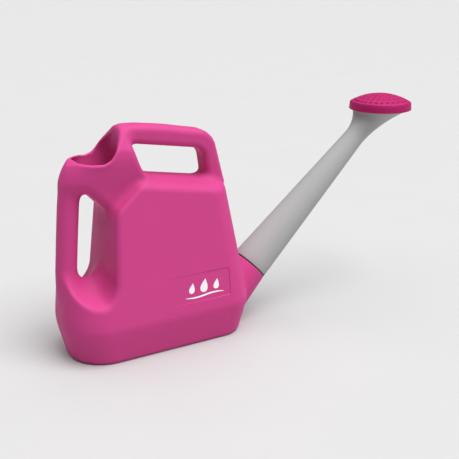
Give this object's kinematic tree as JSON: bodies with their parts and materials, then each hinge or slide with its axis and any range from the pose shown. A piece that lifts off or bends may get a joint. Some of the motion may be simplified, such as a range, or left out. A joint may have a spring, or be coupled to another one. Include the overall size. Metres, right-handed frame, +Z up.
{
  "type": "watering can",
  "caption": "Blow-moulded watering can with a side-gripped tank, a top carrying handle, a rear pouring grip, a long push-on spout and an upward-facing domed rose.",
  "frame": {"origin": "centre of the can across its width, on the plane of its flat base, under the middle of the tank", "axes": "+X towards the spout and rose, +Y to the can's left when it pours forwards, +Z up; the can is a mirror image of itself about y = 0"},
  "size_m": [0.5506, 0.12, 0.301],
  "materials": {
    "can_plastic": "satin moulded polyethylene",
    "rose_plastic": "satin injection-moulded polypropylene",
    "spout_plastic": "satin moulded polyethylene",
    "seal_rubber": "matt",
    "mark_white": "printed white ink"
  },
  "bodies": {
    "can": {"can_body": "can_plastic"},
    "spout_seal": {"spout_gasket": "seal_rubber"},
    "spout": {"spout_tube": "spout_plastic"},
    "rose_seal": {"rose_gasket": "seal_rubber"},
    "rose": {"rose_cap": "rose_plastic"}
  },
  "joints": [
    {"name": "spout_turn", "type": "hinge", "parent": "can", "child": "spout_seal", "pos_m": [0.161, 0, 0.0745], "axis": [0.7314, 0, 0.682], "continuous": true},
    {"name": "spout_pull", "type": "slide", "parent": "spout_seal", "child": "spout", "axis": [0.7314, 0, 0.682], "range_m": [0, 0.04]},
    {"name": "rose_turn", "type": "hinge", "parent": "spout", "child": "rose_seal", "pos_m": [0.3855, 0, 0.2785], "axis": [0, 0, 1], "continuous": true},
    {"name": "rose_pull", "type": "slide", "parent": "rose_seal", "child": "rose", "axis": [0, 0, 1], "range_m": [0, 0.012]}
  ]
}
